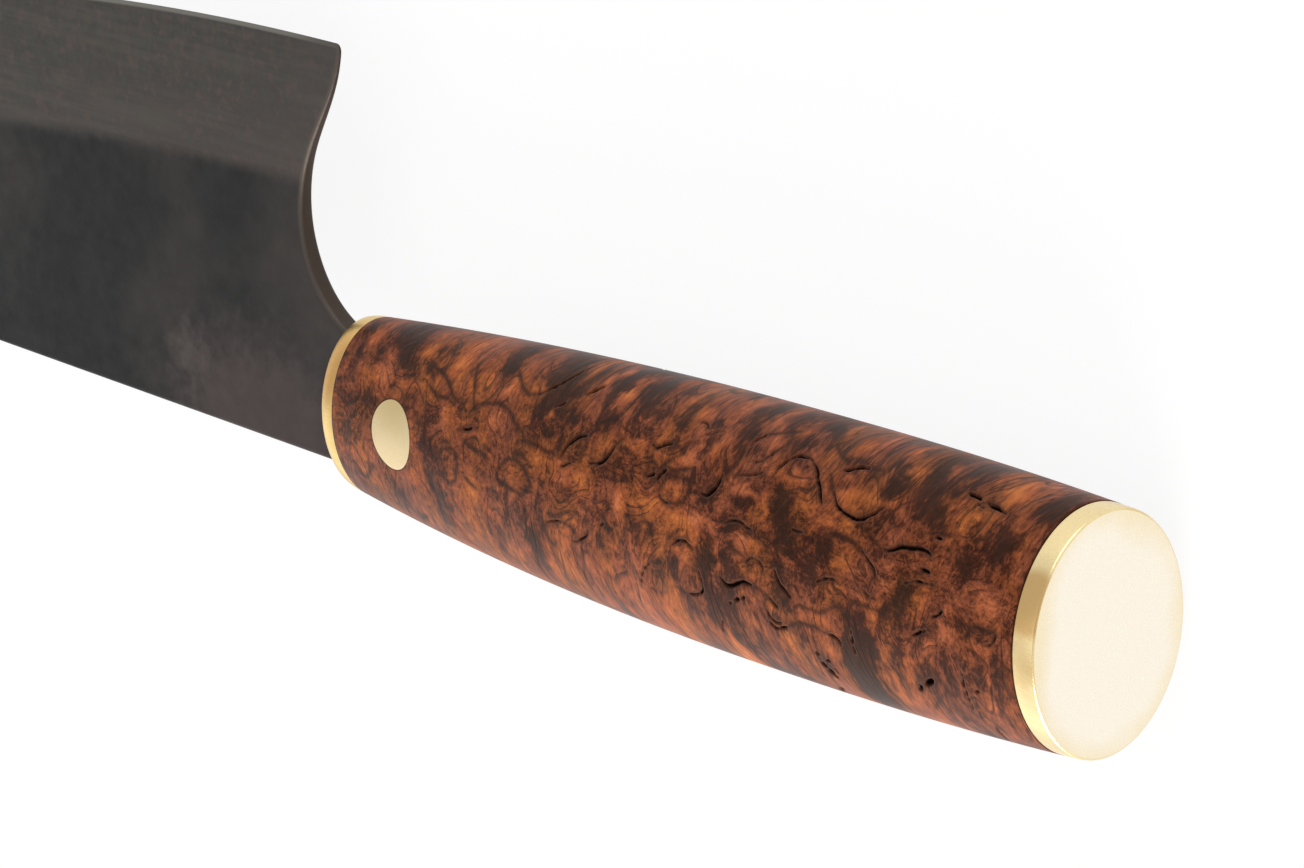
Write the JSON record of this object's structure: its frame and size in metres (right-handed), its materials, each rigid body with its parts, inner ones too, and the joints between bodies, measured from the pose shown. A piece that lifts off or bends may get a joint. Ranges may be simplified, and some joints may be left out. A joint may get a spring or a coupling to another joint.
{
  "type": "gyuto knife",
  "caption": "Gyuto kitchen knife: tall steel blade with a curved choil and a hidden tang, oval wood handle, brass bolster, cross pin and end cap.",
  "frame": {"origin": "the middle of the knife's bounding box at its lowest point, the left side of the palm swell", "axes": "+X from the butt to the tip, +Y from the cutting edge to the spine, +Z out of the blade's right side, so the knife lies level on its left side"},
  "size_m": [0.3292, 0.0564, 0.0236],
  "materials": {
    "blade_steel": "near-black forge finish, ground bevel",
    "plate_brass": "satin",
    "pin_brass": "dressed flush",
    "burl_wood": "figured birch burl, oiled",
    "epoxy": "cured, hidden"
  },
  "bodies": {
    "root": {"blade": "blade_steel", "front_bolster": "plate_brass", "handle_body": "burl_wood", "cross_pin": "pin_brass", "end_cap": "plate_brass", "tang_bedding": "epoxy", "cap_dowel_spine": "plate_brass", "cap_dowel_edge": "plate_brass"}
  },
  "joints": []
}
